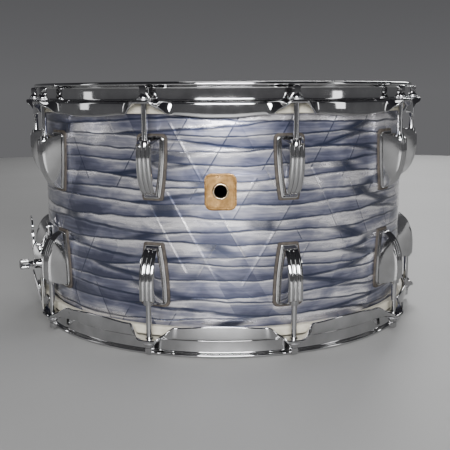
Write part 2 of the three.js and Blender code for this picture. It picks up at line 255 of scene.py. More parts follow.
def chrome_paint():
    """Plated metal: near-mirror, with faint hazing, fine wipe marks and a slight waviness."""
    p = Paint("chrome", Metallic=1.0)
    at = p.coord()
    haze = p.noise(at, 70, 4)
    wipe = p.noise(p.coord(scale=(1, 1, 9)), 420, 2)
    p.set("Base Color", p.ramp(haze, (0.3, (0.46, 0.46, 0.465)), (0.7, (0.57, 0.57, 0.575))))
    p.set("Roughness", p.math("ADD", p.span(haze, 0.35, 0.75, 0.05, 0.1), p.span(wipe, 0.6, 0.8, 0, 0.05)))
    p.set("Normal", p.bump(p.noise(at, 90, 2), 0.05, 0.0004))
    return p.m


def steel_paint():
    p = Paint("wire_steel", Metallic=1.0)
    n = p.noise(p.coord(), 160, 4)
    p.set("Base Color", p.ramp(n, (0.3, (0.5, 0.5, 0.52)), (0.7, (0.68, 0.68, 0.7))))
    p.set("Roughness", p.span(n, 0.3, 0.7, 0.22, 0.42))
    return p.m


def brass_paint():
    """Aged brass: warm, darker along patches of patina, with a fine stipple in its bump."""
    p = Paint("brass", Metallic=1.0)
    at = p.coord()
    patina = p.noise(at, 120, 5, 0.6)
    dark, middle, bright = (0.15, 0.08, 0.027), (0.36, 0.215, 0.087), (0.64, 0.41, 0.19)
    p.set("Base Color", p.ramp(patina, (0.3, dark), (0.55, middle), (0.8, bright)))
    p.set("Roughness", p.span(patina, 0.3, 0.7, 0.4, 0.22))
    p.set("Normal", p.bump(p.noise(at, 1500, 3), 0.6, 0.0005))
    return p.m


def eyelet_paint():
    """The eyelet's brighter, smoother brass."""
    p = Paint("eyelet_brass", Metallic=1.0)
    n = p.noise(p.coord(), 300, 3)
    p.set("Base Color", p.ramp(n, (0.3, (0.66, 0.5, 0.3)), (0.7, (0.88, 0.74, 0.52))))
    p.set("Roughness", p.span(n, 0.3, 0.7, 0.12, 0.25))
    return p.m


def rubber_paint(name, dark, light, rough=0.7):
    p = Paint(name)
    at = p.coord()
    n = p.noise(at, 260, 4)
    p.set("Base Color", p.ramp(n, (0.3, dark), (0.75, light)))
    p.set("Roughness", p.span(n, 0.3, 0.7, rough - 0.1, rough + 0.1))
    p.set("Normal", p.bump(p.noise(at, 2400, 2), 0.25, 0.0002))
    return p.m


def maple_paint():
    """Clear-lacquered maple: long grain round the shell, with flecks and slow colour bands."""
    p = Paint("maple", Roughness=0.38, Coat_Weight=0.4, Coat_Roughness=0.15)
    uv = p.coord("UV", (1, 14, 1))
    grain = p.noise(uv, 34, 6, 0.65, 0.6)
    slow = p.noise(p.coord("UV", (1, 4, 1)), 7, 2)
    base = p.ramp(grain, (0.3, (0.42, 0.24, 0.11)), (0.52, (0.62, 0.4, 0.2)), (0.8, (0.74, 0.52, 0.29)))
    p.set("Base Color", p.mix(p.span(slow, 0.4, 0.65, 0, 0.35), base, (0.5, 0.3, 0.14)))
    p.set("Normal", p.bump(grain, 0.12, 0.0004))
    return p.m


def coated_paint():
    """Coated batter film: warm white, with a fine sprayed texture and a few grey stick marks."""
    p = Paint("coated_film", Specular_IOR_Level=0.35)
    at = p.coord()
    spray = p.noise(at, 1500, 3)
    marks = p.noise(p.coord(scale=(1, 3, 1), turn=0.5), 38, 4, 0.6)
    p.set("Base Color", p.mix(p.span(marks, 0.6, 0.78, 0, 0.35), (0.8, 0.785, 0.74), (0.5, 0.5, 0.5)))
    p.set("Roughness", p.span(spray, 0.3, 0.7, 0.55, 0.8))
    p.set("Normal", p.bump(spray, 0.3, 0.0003))
    return p.m


def collar_paint():
    p = Paint("head_collar")
    at = p.coord()
    n = p.noise(at, 140, 4)
    p.set("Base Color", p.ramp(n, (0.3, (0.62, 0.58, 0.47)), (0.7, (0.78, 0.74, 0.62))))
    p.set("Roughness", p.span(n, 0.3, 0.7, 0.35, 0.55))
    return p.m


def clear_paint():
    """Clear resonant film: thin, faintly milky plastic."""
    p = Paint("clear_film", (0.92, 0.93, 0.94), Roughness=0.12, Alpha=0.35)
    n = p.noise(p.coord(), 60, 3)
    p.set("Roughness", p.span(n, 0.3, 0.7, 0.08, 0.2))
    return p.m


def pearl_paint():
    """Pearl film: overlapping near-horizontal bands, each milky towards one edge and dark along the other,
    crossed by straight creases at about 60 degrees, all under a clear gloss coat."""
    p = Paint("pearl", Metallic=0.8, Coat_Weight=1.0, Coat_Roughness=0.03)
    uv = p.coord("UV")
    u, v = p.split(uv)

    # Bands: cells stretched round the drum, in a slightly wavy space
    wave = p.math("MULTIPLY", p.math("SUBTRACT", p.noise(uv, 9, 2), 0.5), 0.012)
    ripple = p.math("MULTIPLY", p.math("SUBTRACT", p.noise(uv, 60, 2), 0.5), 0.0024)
    vw = p.math("ADD", v, p.math("ADD", wave, ripple))
    place = p.point(p.math("DIVIDE", u, 0.17), p.math("DIVIDE", vw, 0.0108))
    cells = p.voronoi(place, randomness=0.72)
    near = p.voronoi(place, randomness=0.72, feature="DISTANCE_TO_EDGE").outputs["Distance"]
    offset = p.node("VectorMath", operation="SUBTRACT")
    p.link(place, offset.inputs[0])
    p.link(cells.outputs["Position"], offset.inputs[1])
    height = p.split(offset.outputs[0])[1]
    tone, lean, flip = p.channels(cells.outputs["Color"])
    # from about -0.5 at a band's blue edge to 0.5 at its milky one: mostly upwards, in some bands downwards
    rise = p.math("MULTIPLY", height, p.span(flip, 0.25, 0.4, -0.9, 1.0))
    broken = p.span(p.noise(uv, 26, 2), 0.32, 0.5, 0.6, 1)
    line = p.math("MULTIPLY", p.span(near, 0.03, 0.11, 1, 0, True), broken)

    # Patches as tall as three bands: each shows one family of creases, both or none, cut off at its border
    spot = p.point(p.math("DIVIDE", u, 0.085), p.math("DIVIDE", vw, 0.033))
    favour, _, patch = p.channels(p.voronoi(spot).outputs["Color"])

    def creases(slope, pitch, seed, picked):
        """One family of straight creases, shown in patches: a dark hairline, its lit flank, and the facets'
        tone."""
        across = p.math("ADD", p.math("MULTIPLY", u, math.sin(slope)), p.math("MULTIPLY", v, math.cos(slope)))
        w = p.math("ADD", p.math("DIVIDE", across, pitch), seed)
        cell = p.voronoi(w)
        far = p.voronoi(w, feature="DISTANCE_TO_EDGE").outputs["Distance"]
        lo, hi = picked
        shown = p.math("MULTIPLY", p.math("GREATER_THAN", patch, lo), p.math("LESS_THAN", patch, hi))
        above = p.math("GREATER_THAN", p.math("SUBTRACT", w, cell.outputs["W"]), 0)
        below = p.math("SUBTRACT", 1, above)
        dark = p.math("MULTIPLY", p.math("MULTIPLY", p.span(far, 0.006, 0.045, 1, 0, True), above), shown)
        lit = p.math("MULTIPLY", p.math("MULTIPLY", p.span(far, 0.0, 0.07, 1, 0, True), below), shown)
        facet = p.math("SUBTRACT", p.channels(cell.outputs["Color"])[0], 0.5)
        soft = p.math("MULTIPLY", facet, p.span(p.noise(p.coord("UV"), 12 + seed, 1), 0.4, 0.6))
        return dark, lit, soft

    dark_a, lit_a, soft_a = creases(math.radians(61), 0.034, 3.1, (0.0, 0.42))
    dark_b, lit_b, soft_b = creases(math.radians(-59), 0.037, 7.7, (0.32, 0.72))
    soft_c = creases(math.radians(34), 0.085, 12.3, (0.0, 1.0))[2]
    bias = p.span(favour, 0.3, 0.7, 0.12, 1.0)       # some patches' creases are mostly dark, some mostly lit
    dark = p.math("MULTIPLY", p.math("MAXIMUM", dark_a, dark_b), p.math("SUBTRACT", 1.15, bias, clamp=True))
    lit = p.math("MULTIPLY", p.math("MAXIMUM", lit_a, lit_b), bias)

    # Milkiness: the band's rise and tone, clouds, streaks, a glint beside each edge, and the creased facets
    clouds = p.noise(p.coord("UV", (1, 2.2, 1)), 26, 4, 0.5, 0.5)
    streaks = p.noise(p.coord("UV", (1, 17, 1)), 17, 5, 0.65)
    glint = p.math("MULTIPLY", p.span(near, 0.07, 0.2, 1, 0, True), p.span(height, 0.0, 0.1))
    milk = p.math("MULTIPLY_ADD", rise, 0.5, 0.5)
    for part, weight in ((tone, 0.32), (clouds, 1.5), (streaks, 0.9)):
        milk = p.math("ADD", milk, p.math("MULTIPLY", p.math("SUBTRACT", part, 0.5), weight))
    for part, weight in ((glint, 0.3), (soft_a, 0.4), (soft_b, 0.4), (soft_c, 0.2), (lit, 0.2)):
        milk = p.math("ADD", milk, p.math("MULTIPLY", part, weight))
    milk = p.math("ADD", milk, 0.0, clamp=True)
    deep, blue, lilac, white = (0.07, 0.077, 0.135), (0.19, 0.2, 0.29), (0.42, 0.42, 0.5), (0.97, 0.95, 0.98)
    color = p.ramp(milk, (0.0, deep), (0.33, blue), (0.62, lilac), (0.9, white))
    hairline = p.math("MULTIPLY", p.math("MAXIMUM", line, dark), 0.92)
    p.set("Base Color", p.mix(hairline, color, (0.02, 0.03, 0.075)))
    p.set("Roughness", p.span(milk, 0, 1, 0.36, 0.24))

    # Each band and facet leans its own way, so it catches the light by itself; the coat over it stays flat
    lift = p.math("MULTIPLY", rise, p.span(lean, 0, 1, -0.7, 1.7))
    lift = p.math("ADD", lift, p.math("MULTIPLY", clouds, 1.1))
    lift = p.math("ADD", lift, p.math("MULTIPLY", lit, 0.35))
    p.set("Normal", p.bump(lift, 0.6, 0.0014))
    return p.m


# ---------------------------------------------------------------- mesh building
def make(name, verts, faces, material, smooth=40, uvs=None):
    """An object from points and faces. Edges sharper than smooth degrees stay crisp, and uvs give one (u, v)
    per corner."""
    mesh = bpy.data.meshes.new(name)
    mesh.from_pydata([tuple(v) for v in verts], [], faces)
    mesh.validate()
    for m in material if isinstance(material, (list, tuple)) else [material]:
        mesh.materials.append(m)
    mesh.polygons.foreach_set("use_smooth", [True] * len(mesh.polygons))
    mesh.set_sharp_from_angle(angle=math.radians(smooth))
    if uvs:
        layer = mesh.uv_layers.new(name="unrolled")
        flat = [c for face in uvs for uv in face for c in uv]
        layer.data.foreach_set("uv", flat)
    mesh.update()
    obj = bpy.data.objects.new(name, mesh)
    bpy.context.scene.collection.objects.link(obj)
    return obj


def mm(points):
    """Points given in millimetres, in metres."""
    return [tuple(c * MM for c in p) for p in points]


def grid_faces(rows, n, wrap_rows=False, wrap_n=True):
    """Quads over rows of n points."""
    faces = []
    for k in range(rows if wrap_rows else rows - 1):
        for i in range(n if wrap_n else n - 1):
            a, b = k * n + i, k * n + (i + 1) % n
            c, d = (k + 1) % rows * n + (i + 1) % n, (k + 1) % rows * n + i
            faces.append((a, b, c, d))
    return faces


def outward(faces, verts):
    """The faces, turned over if the closed mesh they make is inside out."""
    volume = 0
    for f in faces:
        for k in range(1, len(f) - 1):
            volume += Vector(verts[f[0]]).dot(Vector(verts[f[k]]).cross(Vector(verts[f[k + 1]])))
    return faces if volume > 0 else [tuple(reversed(f)) for f in faces]


def revolve(name, profile, segments, material, closed=False, smooth=40, centre=0.0, side=1):
    """Turns [(r, z), ...] about the drum's axis. A closed profile makes a ring. UVs are the length round the
    drum and the height. Their seam is at the back."""
    profile = [(r, centre + side * z) for r, z in profile]
    n = len(profile)
    verts, angle = [], [TAU * k / segments - math.pi for k in range(segments)]
    for a in angle:
        verts += [(r * math.sin(a), -r * math.cos(a), z) for r, z in profile]
    faces = grid_faces(segments, n, wrap_rows=True, wrap_n=closed)
    radius = max(r for r, _ in profile)

    def corner(index, face):
        k, i = divmod(index, n)
        if k == 0 and any(f // n == segments - 1 for f in face):
            k = segments
        return (TAU * k / segments - math.pi) * radius, profile[i][1]

    faces = [tuple(dict.fromkeys(f)) for f in faces]
    faces = outward(faces, verts)
    uvs = [[corner(i, f) for i in f] for f in faces]
    obj = make(name, verts, faces, material, smooth, uvs)
    weld(obj)
    return obj


def weld(obj, distance=1e-7):
    bm = bmesh.new()
    bm.from_mesh(obj.data)
    bmesh.ops.remove_doubles(bm, verts=bm.verts, dist=distance)
    bm.to_mesh(obj.data)
    bm.free()


def loft(rings):
    """Vertices and faces of a skin over rings of equal counts, closed with flat ends."""
    n = len(rings[0])
    verts = [p for ring in rings for p in ring]
    faces = grid_faces(len(rings), n)
    faces.append(tuple(range(n - 1, -1, -1)))
    faces.append(tuple((len(rings) - 1) * n + i for i in range(n)))
    return verts, outward(faces, verts)


def merged(*parts):
    """Several (verts, faces) as one."""
    verts, faces = [], []
    for v, f in parts:
        base = len(verts)
        verts += v
        faces += [tuple(base + i for i in face) for face in f]
    return verts, faces


def fillet(points, radii, steps=4):
    """A closed outline with each corner rounded by its radius, always steps + 1 points a corner."""
    out = []
    n = len(points)
    for i, (p, radius) in enumerate(zip(points, radii)):
        p = Vector(p)
        a, b = Vector(points[i - 1]) - p, Vector(points[(i + 1) % n]) - p
        reach = min(a.length, b.length) * 0.49
        a.normalize()
        b.normalize()
        half = math.acos(max(-1, min(1, a.dot(b)))) / 2
        trim = min(radius / max(math.tan(half), 1e-4), reach)
        start, end = p + a * trim, p + b * trim
        for k in range(steps + 1):
            t = k / steps
            out.append(tuple((1 - t) ** 2 * start + 2 * t * (1 - t) * p + t * t * end))
    return out


def smoothstep(x, a, b):
    t = max(0.0, min(1.0, (x - a) / (b - a)))
    return t * t * (3 - 2 * t)


def give(obj, *nodes, body=ROOT, slot="chrome"):
    """Hands a piece to its body, in place of the CAD nodes named."""
    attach(obj, body)
    if nodes:
        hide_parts(*nodes)


def put(obj, angle, body, *nodes, side=1, slot="chrome"):
    """Turns a piece built at the front to its angle, upside down on the snare side, and gives it a body."""
    flip = Matrix.Rotation(math.pi, 4, "Y") if side < 0 else Matrix.Identity(4)
    obj.matrix_world = Matrix.Rotation(math.radians(angle), 4, "Z") @ Matrix.Translation((0, 0, MID)) @ flip
    give(obj, *nodes, body=body, slot=slot)


def copy_of(obj, name):
    twin = bpy.data.objects.new(name, obj.data)
    bpy.context.scene.collection.objects.link(twin)
    return twin


def polar(angle, r, z):
    a = math.radians(angle)
    return Vector((r * math.sin(a), -r * math.cos(a), z))


# ---------------------------------------------------------------- shell, wrap and heads
def shell_and_wrap():
    wood = maple_paint()
    slope = 3.2 * MM                         # the bearing edge's outer slope
    inner = SHELL_R - WALL
    half = [
        (inner, 0), (inner, EDGE - 5.2 * MM), (inner + 0.5 * MM, EDGE - 3.9 * MM),
        (SHELL_R - slope - 0.4 * MM, EDGE - 0.2 * MM), (SHELL_R - slope, EDGE),
        (SHELL_R - slope + 0.7 * MM, EDGE), (SHELL_R - 1.2 * MM, EDGE - 0.4 * MM),
        (SHELL_R - 0.3 * MM, EDGE - 1.2 * MM), (SHELL_R, EDGE - 2.2 * MM), (SHELL_R, 0),
    ]
    outline = half + [(r, -z) for r, z in reversed(half[1:-1])]
    shell = revolve("shell_wood", outline, 192, wood, closed=True, centre=MID)
    hole(shell, 0, MID + VENT_UP, VENT_HOLE)
    give(shell, "shell", slot="maple")

    inner = SHELL_R + 0.1 * MM
    skin = [(inner, -WRAP_END), (WRAP_R, -WRAP_END), (WRAP_R, WRAP_END), (inner, WRAP_END)]
    wrap = revolve("pearl_wrap", skin, 256, pearl_paint(), closed=True, centre=MID)
    hole(wrap, 0, MID + VENT_UP, VENT_HOLE)
    give(wrap, "wrap", slot="pearl")


def hole(obj, angle, z, radius):
    """Cuts a radial hole through a wall."""
    circle = [(radius * math.cos(TAU * k / 48), z + radius * math.sin(TAU * k / 48)) for k in range(48)]
    rings = [[(x, -r, h) for x, h in circle] for r in (150 * MM, 230 * MM)]
    cut(obj, [turned_by(angle, loft(rings))])


def turned_by(angle, part):
    m = Matrix.Rotation(math.radians(angle), 4, "Z")
    return [tuple(m @ Vector(v)) for v in part[0]], part[1]


def cut(obj, parts):
    """Subtracts closed (verts, faces) parts from a piece, for good."""
    verts, faces = merged(*parts)
    tool = make("cutter", verts, faces, [])
    mod = obj.modifiers.new("cut", "BOOLEAN")
    mod.operation, mod.solver, mod.object = "DIFFERENCE", "EXACT", tool
    dg = bpy.context.evaluated_depsgraph_get()
    result = bpy.data.meshes.new_from_object(obj.evaluated_get(dg))
    obj.modifiers.clear()
    obj.data = result
    bpy.data.objects.remove(tool)
    result.set_sharp_from_angle(angle=math.radians(40))


def head(name, side, film, collar):
    film_r = WRAP_R + 0.35 * MM
    thick = 0.4 * MM
    under = EDGE + 0.3 * MM
    top = under + thick
    bend = [(SHELL_R - 1.2 * MM, 0), (SHELL_R + 0.2 * MM, -0.35 * MM), (film_r + thick, -1.8 * MM)]
    outer = [(r, top + z) for r, z in bend]
    lower = EDGE - 10.5 * MM
    profile = [
        (0, under), (SHELL_R - 1.4 * MM, under), (SHELL_R - 0.2 * MM, under - 0.3 * MM),
        (film_r, under - 1.7 * MM), (film_r, lower), (film_r + thick, lower), *reversed(outer),
        (SHELL_R - 3 * MM, top), (0, top),
    ]
    piece = revolve(f"{name}_film", profile, 192, film, centre=MID, side=side)
    give(piece, f"{name}_head", slot="coated_film" if side > 0 else "clear_film")

    hoop_in = film_r + thick + 0.3 * MM
    rim = EDGE - 6.6 * MM
    hoop_out, foot = hoop_in + 5.4 * MM, rim - 8 * MM
    section = fillet([(hoop_in, foot), (hoop_out, foot), (hoop_out, rim), (hoop_in, rim)],
                     [0.8 * MM, 1.6 * MM, 1.6 * MM, 0.8 * MM], 3)
    ring = revolve(f"{name}_flesh_ring", section, 192, collar, closed=True, centre=MID, side=side)
    give(ring, f"{name}_flesh_hoop", body=f"{name}_hoop_body", slot="aluminium")


# ---------------------------------------------------------------- hoops
def hoop_section(offset):
    """The pressed hoop's outline at an angle from the nearest rod: the skirt hangs down between rods and
    turns out at an ear."""
    along = abs(math.radians(offset)) * ROD_CIRCLE
    ear, full = 5.5 * MM, 22.5 * MM
    down = smoothstep(along, ear, full) * math.pi / 2
    bend_r = HOOP_IN + 5.6 * MM
    short = 0.16 * smoothstep(along, 8 * MM, full) * (1 - smoothstep(along, full, 52 * MM))
    flange = 12.3 * MM * (1 - 0.26 * math.sin(2 * down) ** 2) * (1 - short)

    def flange_point(s, t):
        out = s * math.cos(down) + t * math.sin(down)
        return bend_r + out, SHELF + SHEET / 2 - s * math.sin(down) + t * math.cos(down)

    top = HOOP_TOP
    corners = [
        ((HOOP_IN, SHELF), 0.6), ((HOOP_IN, top), 1.3), ((HOOP_IN + 4.7 * MM, top), 1.9),
        ((HOOP_IN + 5.4 * MM, top - 2.6 * MM), 1.5), ((HOOP_IN + SHEET, top - 4.1 * MM), 1.6),
        ((HOOP_IN + SHEET, SHELF + SHEET), 1.7), (flange_point(0.4 * MM, SHEET / 2), 2.0),
        (flange_point(flange, SHEET / 2), 0.9), (flange_point(flange, -SHEET / 2), 0.9),
        (flange_point(0.9 * MM, -SHEET / 2), 1.2),
    ]
    return fillet([c for c, _ in corners], [r * MM for _, r in corners], 4)


def hoop(name, side, material):
    steps = 720
    verts = []
    for k in range(steps):
        a = 360 * k / steps - 180
        offset = (a - ROD_ANGLES[0] + 18) % 36 - 18
        verts += [tuple(polar(a, r, MID + side * z)) for r, z in hoop_section(offset)]
    n = len(verts) // steps
    faces = outward(grid_faces(steps, n, wrap_rows=True), verts)
    obj = make(f"{name}_hoop_pressed", verts, faces, material, 50)
    z, rod_hole = MID + side * SHELF, 3.2 * MM
    cutters = []
    for a in ROD_ANGLES:
        cutters.append(turned_by(a, round_bar([(h, rod_hole, 0) for h in (z - 8 * MM, z + 8 * MM)], turn=0)))
    if side < 0:
        for a in (STRAINER_ANGLE, BUTT_ANGLE):
            cutters.append(turned_by(a, gate_cutter()))
    cut(obj, cutters)
    give(obj, f"{name}_hoop", body=f"{name}_hoop_body")


def gate_cutter():
    """The strap's opening: a block with rounded lower corners."""
    half, top = GATE_HALF, 60 * MM
    outline = fillet([(-half, GATE_FLOOR), (half, GATE_FLOOR), (half, top), (-half, top)],
                     [5 * MM, 5 * MM, 1 * MM, 1 * MM], 6)
    return loft([[(x, -r, z) for x, z in outline] for r in (HOOP_IN - 6 * MM, HOOP_IN + 30 * MM)])


# ---------------------------------------------------------------- lugs and rods
LUG_LEN = 54 * MM                            # from the tail to the rod end
LUG_FROM = 17.4 * MM                         # the tail's height over the mid-plane


def lug_half_width(t):
    """Half the gasket's width at t, from the tail (0) to the rod end (1): a keystone with bowed sides."""
    width = 8.9 + 9.6 * t - 5.2 * t * t
    z, end, corner = t * 54, 54, 4.2
    if z > end - corner:
        width -= corner - math.sqrt(max(corner ** 2 - (z - end + corner) ** 2, 0))
    if z < 1.2:
        width -= 1.2 - math.sqrt(max(1.2 ** 2 - (1.2 - z) ** 2, 0))
    return width * MM


def on_shell(x, h, z):
    """A point h off the shell's wrap, with the shell's curve under it."""
    return (x, -(math.sqrt(WRAP_R ** 2 - x * x) + h), z)


def stations(count):
    """Shares of a length from 0 to 1, closer together near both ends."""
    return [0.5 - 0.5 * math.cos(math.pi * k / count) for k in range(count + 1)]


def plate(inset, low, high, edge, field=0.0):
    """A keystone slab inset from the lug's outline, from low to high off the wrap, with a rounded upper edge
    and, inside a raised lip, a field sunk by the depth given."""
    rings = []
    for t in stations(34):
        half = max(lug_half_width(t) - inset, 0.3 * MM)
        z = LUG_FROM + inset + t * (LUG_LEN - 2 * inset)
        sunk = field * smoothstep(min(t, 1 - t) * LUG_LEN, 1.0 * MM, 1.7 * MM)
        lip = min(1.1 * MM, half * 0.5)
        right = [
            (half, low), (half, high - edge), (half - 0.3 * edge, high - 0.3 * edge), (half - edge, high),
            (half - lip, high), (half - lip - min(0.4 * MM, half * 0.2), high - sunk),
            (half * 0.25, high - sunk),
        ]
        ring = right + [(-x, h) for x, h in reversed(right)]
        rings.append([on_shell(x, h, z) for x, h in ring])
    return loft(rings)


def lug_body():
    """The casting over its flange: bowed walls up to a ridge of three ribs that curves down to the tail."""
    foot, peak = 2.8 * MM, 19.6 * MM
    spine = 5.9 * MM
    tail, crest, tip = 2.6 * MM, 36 * MM, 50.6 * MM
    rings = []
    for t in stations(60):
        z = tail + t * (tip - tail)
        arch = math.sqrt(max(1 - ((crest - z) / (crest - tail)) ** 2, 0)) if z < crest else 1.0
        slope = min(1.0, (tip - z) / (5.2 * MM))
        droop = 1 - 0.05 * max(0, (z - crest) / (tip - crest)) ** 2
        rise = (arch ** 1.1) * (1 - (1 - slope) ** 1.4) * droop
        height = max(rise * (peak - foot), 0.02 * MM)
        base = lug_half_width(z / LUG_LEN) - 4.1 * MM
        share = height / (peak - foot)
        top = base - (base - min(spine, base)) * share ** 1.25
        wall = []
        for k in range(7):
            s = k / 6
            h = height * s
            x = base - (base - min(spine, base)) * (h / (peak - foot)) ** 1.25
            wall.append((x, h))
        wall[-1] = (top - 0.35 * MM * min(1, share * 4), height)
        wall.insert(-1, (top, height - min(0.35 * MM, height * 0.3)))
        ribs = []
        width = wall[-1][0]
        depth = 1.0 * MM * min(1, share * 2.5)
        for k in range(1, 24):
            x = width * (1 - k / 12)
            groove = abs(math.sin(1.5 * math.pi * (x / width + 1)))     # three ribs over the ridge
            ribs.append((x, height - depth * (1 - groove ** 0.6)))
        ring = wall + ribs + [(-x, h) for x, h in reversed(wall)]
        rings.append([on_shell(x, foot - 0.4 * MM + h, LUG_FROM + z) for x, h in ring])
    return loft(rings)


def round_bar(stack, count=24, turn=0.5):
    """An upright turned bar on the rods' circle, from [(z, radius, squareness), ...]."""
    rings = []
    for z, radius, square in stack:
        ring = []
        for k in range(count):
            a = TAU * (k + turn) / count
            c, s = math.cos(a), math.sin(a)
            flat = min(1 / max(abs(c), abs(s)), 1.3)
            r = radius * (1 + square * (flat - 1))
            ring.append((r * c, -ROD_CIRCLE + r * s, z))
        rings.append(ring)
    return loft(rings)


def tube(stack, count=24):
    """A ring-shaped turned piece on the rods' circle, from a closed [(z, radius), ...]."""
    verts = []
    for k in range(count):
        a = TAU * k / count
        verts += [(r * math.cos(a), -ROD_CIRCLE + r * math.sin(a), z) for z, r in stack]
    return verts, outward(grid_faces(count, len(stack), wrap_rows=True), verts)


def lugs(chrome, rubber):
    collar_ring = ((40, 2.6), (40, 4.3), (48.6, 4.3), (49.4, 3.8), (49.4, 2.6))
    collar = tube([(LUG_FROM + z * MM, r * MM) for z, r in collar_ring])
    casting = merged(plate(1.9 * MM, 1.1 * MM, 3.1 * MM, 0.5 * MM, 0.6 * MM), lug_body(), collar)
    lug = make("lug_casting", *casting, chrome, 38)
    pad = make("lug_gasket", *plate(0, 0.02 * MM, 1.3 * MM, 0.4 * MM), rubber, 40)
    for name, side in SIDES.items():
        for i, angle in enumerate(ROD_ANGLES, 1):
            put(copy_of(lug, f"casting_{name}_{i}"), angle, ROOT, f"lug_{name}_{i}", side=side)
            put(copy_of(pad, f"gasket_{name}_{i}"), angle, ROOT, side=side, slot="nylon")
    for o in (lug, pad):
        bpy.data.objects.remove(o)


def rods(chrome, steel):
    ear = SHELF + SHEET + 0.3 * MM
    lead = 1.06
    shank = [(-54, 1.7, 0), (-53.4, 2.0, 0)]
    for k in range(15):                         # the thread, as close rings
        shank += [(-53 + k * lead, 2.05, 0), (-52.5 + k * lead, 2.5, 0)]
    shank += [(-37, 2.35, 0), (-1.2, 2.35, 0), (1.4, 2.35, 0)]
    shank += [(1.45, 4.2, 0), (1.8, 4.45, 0), (2.5, 4.4, 0), (3.2, 3.9, 0), (4.5, 2.9, 0.3)]
    shank += [(5.2, 2.65, 1), (5.4, 2.8, 1), (9.8, 2.8, 1), (10.5, 2.6, 1)]
    shank += [(11.0, 2.0, 0.8), (11.2, 1.0, 0.3)]
    rod = make("rod", *round_bar([(ear + z * MM, r * MM, s) for z, r, s in shank]), chrome, 32)
    ring = [(0.0, 2.6), (0.0, 5.4), (0.2, 5.6), (1.1, 5.6), (1.35, 5.3), (1.35, 2.6)]
    washer = make("washer", *tube([(ear + z * MM, r * MM) for z, r in ring], 32), steel, 40)
    for name, side in SIDES.items():
        for i, angle in enumerate(ROD_ANGLES, 1):
            body = f"{name}_rod_{i}"
            put(copy_of(rod, f"tension_rod_{name}_{i}"), angle, body, f"rod_{name}_{i}", side=side)
            put(copy_of(washer, f"washer_{name}_{i}"), angle, body, side=side)
    for o in (rod, washer):
        bpy.data.objects.remove(o)


# ---------------------------------------------------------------- flat and turned pieces at the shell
def prism(outline, a, b, along="r"):
    """An outline pushed from a to b: (x, z) points along the radius, or (r, z) points along x."""
    if along == "r":
        return loft([[(x, -r, z) for x, z in outline] for r in (a, b)])
    return loft([[(x, -r, z) for r, z in outline] for x in (a, b)])


def box(half, r0, r1, z0, z1, corner):
    """A block with rounded corners, half its width to each side, from r0 out to r1 and from z0 to z1 over the
    floor: all in millimetres."""
    low, high = z0 * MM - MID, z1 * MM - MID
    x = half * MM
    outline = fillet([(-x, low), (x, low), (x, high), (-x, high)], [corner * MM] * 4, 5)
    return prism(outline, r0 * MM, r1 * MM)


def turned(stack, x=0.0, z=0.0, count=28, waves=0, depth=0.0):
    """A solid turned about a radial axis from [(r, radius), ...]. Waves flute its surface, for a knurl."""
    rings = []
    for r, radius in stack:
        ring = []
        for k in range(count):
            a = TAU * k / count
            d = radius - (depth * (0.5 - 0.5 * math.cos(waves * a)) if waves else 0)
            ring.append((x + d * math.cos(a), -r, z + d * math.sin(a)))
        rings.append(ring)
    return loft(rings)


def ring_out(stack, z, count=40):
    """A ring about a radial axis from a closed [(r, radius), ...]."""
    verts = []
    for k in range(count):
        a = TAU * k / count
        verts += [(d * math.cos(a), -r, z + d * math.sin(a)) for r, d in stack]
    return verts, outward(grid_faces(count, len(stack), wrap_rows=True), verts)


def screw_head(x, height, out, size):
    """A slotted round head, in millimetres over the floor: two half domes with the slot between them."""
    x, z, r, radius = x * MM, height * MM - MID, out * MM, size * MM
    parts = [turned([(r - 0.4 * MM, radius), (r + 0.5 * MM, radius)], x, z)]
    for s in (1, -1):
        rings = []
        for h, share in ((0.45, 1.0), (0.9, 0.96), (1.3, 0.82), (1.6, 0.55)):
            d = radius * share
            slot = 0.32 * MM
            reach = math.acos(min(1, slot / d))
            turns = [reach * (k / 7 - 1) for k in range(15)]
            rings.append([(x + d * math.sin(a), -(r + h * MM), z + s * d * math.cos(a)) for a in turns])
        parts.append(loft(rings))
    return merged(*parts)


def bevelled(obj, width, segments=2, angle=35):
    """Rounds every edge sharper than the angle, in the mesh itself."""
    bm = bmesh.new()
    bm.from_mesh(obj.data)
    edges = [e for e in bm.edges if e.is_manifold and e.calc_face_angle(0) > math.radians(angle)]
    bmesh.ops.bevel(bm, geom=edges, offset=width, offset_type="OFFSET", segments=segments, profile=0.6,
                    affect="EDGES", clamp_overlap=True)
    bm.to_mesh(obj.data)
    bm.free()
    obj.data.polygons.foreach_set("use_smooth", [True] * len(obj.data.polygons))
    obj.data.set_sharp_from_angle(angle=math.radians(40))
    return obj


def solid(name, material, *parts, bevel=0.35 * MM):
    return bevelled(make(name, *merged(*parts), material, 35), bevel)


def arc(cx, cz, radius, a, b, steps=14):
    """Points on a circle from angle a to b, in degrees."""
    angles = [math.radians(a + (b - a) * k / steps) for k in range(steps + 1)]
    return [(cx + radius * math.cos(t), cz + radius * math.sin(t)) for t in angles]


